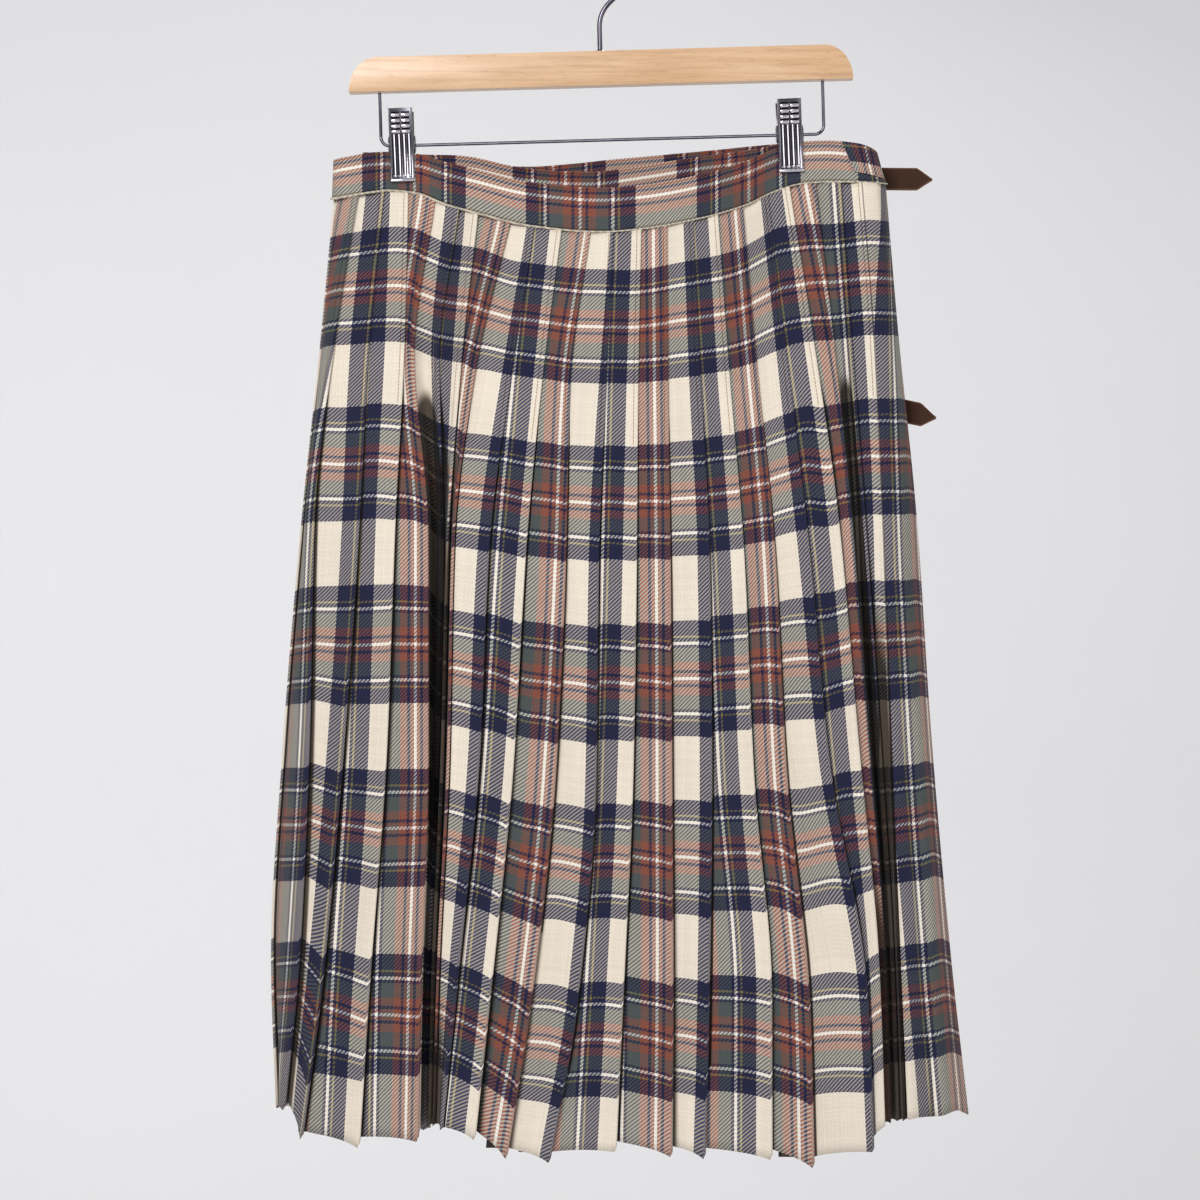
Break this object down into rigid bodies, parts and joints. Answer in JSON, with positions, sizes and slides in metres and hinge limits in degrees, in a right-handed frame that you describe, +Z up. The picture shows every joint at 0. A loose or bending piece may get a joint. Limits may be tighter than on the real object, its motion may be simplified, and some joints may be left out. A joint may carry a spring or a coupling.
{
  "type": "tartan kilt on a clip hanger",
  "caption": "Knee-length tartan kilt with knife pleats, waistband and side straps, hung by its band from a wooden clip hanger with a wire hook.",
  "frame": {"origin": "inside top of the hanger's crook, where a rail carries it", "axes": "+Z up, +X to the right as the pleated back is seen, -Y out of the pleated back towards the viewer"},
  "size_m": [0.5018, 0.0955, 0.869],
  "materials": {
    "tartan": "matt worsted wool twill",
    "band": "matt worsted wool twill, interlined",
    "leather": "smooth dark brown",
    "chrome": "polished",
    "wire": "dark bright wire",
    "wood": "clear lacquered beech"
  },
  "bodies": {
    "root": {"pleated_back": "tartan", "over_apron": "tartan", "under_apron": "tartan", "waistband_back": "band", "waistband_over": "band", "waistband_under": "band", "waistband_turn": "band", "strap_upper": "leather", "strap_lower": "leather", "buckle_tab_upper": "leather", "buckle_tab_lower": "leather", "buckle_upper": "chrome", "buckle_lower": "chrome", "hanger_bar": "wood", "hanger_hook": "wire", "hanger_wire": "wire", "clip_left_front": "chrome", "clip_left_back": "chrome", "clip_left_spring": "chrome", "clip_right_front": "chrome", "clip_right_back": "chrome", "clip_right_spring": "chrome"}
  },
  "joints": []
}
